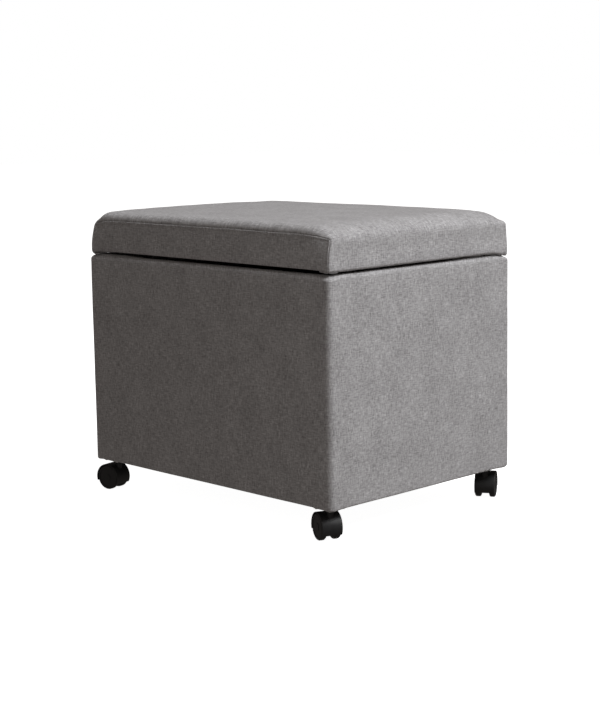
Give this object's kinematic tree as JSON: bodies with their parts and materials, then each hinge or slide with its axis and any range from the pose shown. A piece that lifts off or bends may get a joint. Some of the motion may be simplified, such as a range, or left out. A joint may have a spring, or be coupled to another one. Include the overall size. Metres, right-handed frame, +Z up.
{
  "type": "storage ottoman",
  "caption": "Rolling storage ottoman: a fabric-covered box on twin-wheel casters, with a hinged padded lid held by folding stays.",
  "frame": {"origin": "on the floor, under the middle of the case", "axes": "+Z up, +X along the long side, -Y towards the front, the hinge side is +Y"},
  "size_m": [0.5546, 0.4139, 0.462],
  "materials": {
    "upholstery_fabric": "heathered linen-look weave, matt",
    "carcass_board": "raw fibreboard",
    "wadding": "white polyester wadding",
    "foam": "open-cell cushion foam",
    "lining_fabric": "black non-woven sheet",
    "dust_cover_fabric": "black non-woven sheet",
    "zinc_screws": "zinc-plated",
    "bumper_rubber": "soft black rubber",
    "hinge_steel": "zinc-plated",
    "stay_steel": "zinc-plated",
    "rivet_steel": "bright zinc",
    "caster_plate_steel": "zinc-plated",
    "axle_steel": "ground steel",
    "hood_nylon": "black nylon, satin",
    "wheel_nylon": "black nylon, satin"
  },
  "bodies": {
    "case": {"front_panel": "carcass_board", "rear_panel": "carcass_board", "left_panel": "carcass_board", "right_panel": "carcass_board", "floor_panel": "carcass_board", "case_screws": "zinc_screws", "case_padding": "wadding", "case_cover": "upholstery_fabric", "case_lining": "lining_fabric", "dust_cover": "dust_cover_fabric", "base_staples": "zinc_screws", "rim_bumpers": "bumper_rubber", "hinge_left_case_leaf": "hinge_steel", "hinge_right_case_leaf": "hinge_steel", "hinge_case_screws": "zinc_screws", "stay_pivot_screws": "rivet_steel", "caster_front_left_plate": "caster_plate_steel", "caster_front_right_plate": "caster_plate_steel", "caster_rear_left_plate": "caster_plate_steel", "caster_rear_right_plate": "caster_plate_steel", "caster_kingpins": "caster_plate_steel", "caster_screws": "zinc_screws"},
    "lid": {"lid_board": "carcass_board", "lid_foam": "foam", "lid_top_cover": "upholstery_fabric", "lid_front_border": "upholstery_fabric", "lid_rear_border": "upholstery_fabric", "lid_lining": "lining_fabric", "lid_staples": "zinc_screws", "hinge_left_lid_leaf": "hinge_steel", "hinge_right_lid_leaf": "hinge_steel", "hinge_pins": "hinge_steel", "hinge_lid_screws": "zinc_screws", "stay_left_lid_bracket": "stay_steel", "stay_right_lid_bracket": "stay_steel", "stay_lid_rivets": "rivet_steel"},
    "stay_left_lower": {"stay_left_lower_arm": "stay_steel", "stay_left_middle_rivet": "rivet_steel"},
    "stay_left_upper": {"stay_left_upper_arm": "stay_steel"},
    "stay_right_lower": {"stay_right_lower_arm": "stay_steel", "stay_right_middle_rivet": "rivet_steel"},
    "stay_right_upper": {"stay_right_upper_arm": "stay_steel"},
    "front_left_swivel": {"caster_front_left_hood": "hood_nylon", "caster_front_left_axle": "axle_steel"},
    "front_left_wheel_a": {"caster_front_left_wheel_a": "wheel_nylon"},
    "front_left_wheel_b": {"caster_front_left_wheel_b": "wheel_nylon"},
    "front_right_swivel": {"caster_front_right_hood": "hood_nylon", "caster_front_right_axle": "axle_steel"},
    "front_right_wheel_a": {"caster_front_right_wheel_a": "wheel_nylon"},
    "front_right_wheel_b": {"caster_front_right_wheel_b": "wheel_nylon"},
    "rear_left_swivel": {"caster_rear_left_hood": "hood_nylon", "caster_rear_left_axle": "axle_steel"},
    "rear_left_wheel_a": {"caster_rear_left_wheel_a": "wheel_nylon"},
    "rear_left_wheel_b": {"caster_rear_left_wheel_b": "wheel_nylon"},
    "rear_right_swivel": {"caster_rear_right_hood": "hood_nylon", "caster_rear_right_axle": "axle_steel"},
    "rear_right_wheel_a": {"caster_rear_right_wheel_a": "wheel_nylon"},
    "rear_right_wheel_b": {"caster_rear_right_wheel_b": "wheel_nylon"}
  },
  "joints": [
    {"name": "lid_hinge", "type": "hinge", "parent": "case", "child": "lid", "pos_m": [0, 0.2, 0.393], "axis": [-1, 0, 0], "range_deg": [0, 95]},
    {"name": "stay_left_case_pivot", "type": "hinge", "parent": "case", "child": "stay_left_lower", "pos_m": [-0.25075, 0.14, 0.289], "axis": [-1, 0, 0], "range_deg": [0, 95]},
    {"name": "stay_left_middle_pivot", "type": "hinge", "parent": "stay_left_lower", "child": "stay_left_upper", "pos_m": [-0.24775, 0.04, 0.277], "axis": [-1, 0, 0], "range_deg": [-95, 0]},
    {"name": "stay_right_case_pivot", "type": "hinge", "parent": "case", "child": "stay_right_lower", "pos_m": [0.25075, 0.14, 0.289], "axis": [-1, 0, 0], "range_deg": [0, 95]},
    {"name": "stay_right_middle_pivot", "type": "hinge", "parent": "stay_right_lower", "child": "stay_right_upper", "pos_m": [0.24775, 0.04, 0.277], "axis": [-1, 0, 0], "range_deg": [-95, 0]},
    {"name": "front_left_swivel", "type": "hinge", "parent": "case", "child": "front_left_swivel", "pos_m": [-0.246, -0.1765, 0.037], "axis": [0, 0, 1], "continuous": true},
    {"name": "front_left_wheel_a_spin", "type": "hinge", "parent": "front_left_swivel", "child": "front_left_wheel_a", "pos_m": [-0.25995, -0.1676, 0.02], "axis": [-0.1908, 0.9816, 0], "continuous": true},
    {"name": "front_left_wheel_b_spin", "type": "hinge", "parent": "front_left_swivel", "child": "front_left_wheel_b", "pos_m": [-0.2556, -0.18998, 0.02], "axis": [-0.1908, 0.9816, 0], "continuous": true},
    {"name": "front_right_swivel", "type": "hinge", "parent": "case", "child": "front_right_swivel", "pos_m": [0.246, -0.1765, 0.037], "axis": [0, 0, 1], "continuous": true},
    {"name": "front_right_wheel_a_spin", "type": "hinge", "parent": "front_right_swivel", "child": "front_right_wheel_a", "pos_m": [0.2393, -0.16136, 0.02], "axis": [0.3843, 0.9232, 0], "continuous": true},
    {"name": "front_right_wheel_b_spin", "type": "hinge", "parent": "front_right_swivel", "child": "front_right_wheel_b", "pos_m": [0.23054, -0.18241, 0.02], "axis": [0.3843, 0.9232, 0], "continuous": true},
    {"name": "rear_left_swivel", "type": "hinge", "parent": "case", "child": "rear_left_swivel", "pos_m": [-0.246, 0.1765, 0.037], "axis": [0, 0, 1], "continuous": true},
    {"name": "rear_left_wheel_a_spin", "type": "hinge", "parent": "rear_left_swivel", "child": "rear_left_wheel_a", "pos_m": [-0.26012, 0.16786, 0.02], "axis": [-0.9659, 0.2588, 0], "continuous": true},
    {"name": "rear_left_wheel_b_spin", "type": "hinge", "parent": "rear_left_swivel", "child": "rear_left_wheel_b", "pos_m": [-0.23809, 0.16196, 0.02], "axis": [-0.9659, 0.2588, 0], "continuous": true},
    {"name": "rear_right_swivel", "type": "hinge", "parent": "case", "child": "rear_right_swivel", "pos_m": [0.246, 0.1765, 0.037], "axis": [0, 0, 1], "continuous": true},
    {"name": "rear_right_wheel_a_spin", "type": "hinge", "parent": "rear_right_swivel", "child": "rear_right_wheel_a", "pos_m": [0.24951, 0.19268, 0.02], "axis": [0.8545, 0.5195, 0], "continuous": true},
    {"name": "rear_right_wheel_b_spin", "type": "hinge", "parent": "rear_right_swivel", "child": "rear_right_wheel_b", "pos_m": [0.23003, 0.18083, 0.02], "axis": [0.8545, 0.5195, 0], "continuous": true}
  ],
  "couplings": [
    {"joint": "stay_left_case_pivot", "follows": "lid_hinge", "ratio": 1},
    {"joint": "stay_left_middle_pivot", "follows": "lid_hinge", "ratio": -1},
    {"joint": "stay_right_case_pivot", "follows": "lid_hinge", "ratio": 1},
    {"joint": "stay_right_middle_pivot", "follows": "lid_hinge", "ratio": -1}
  ]
}
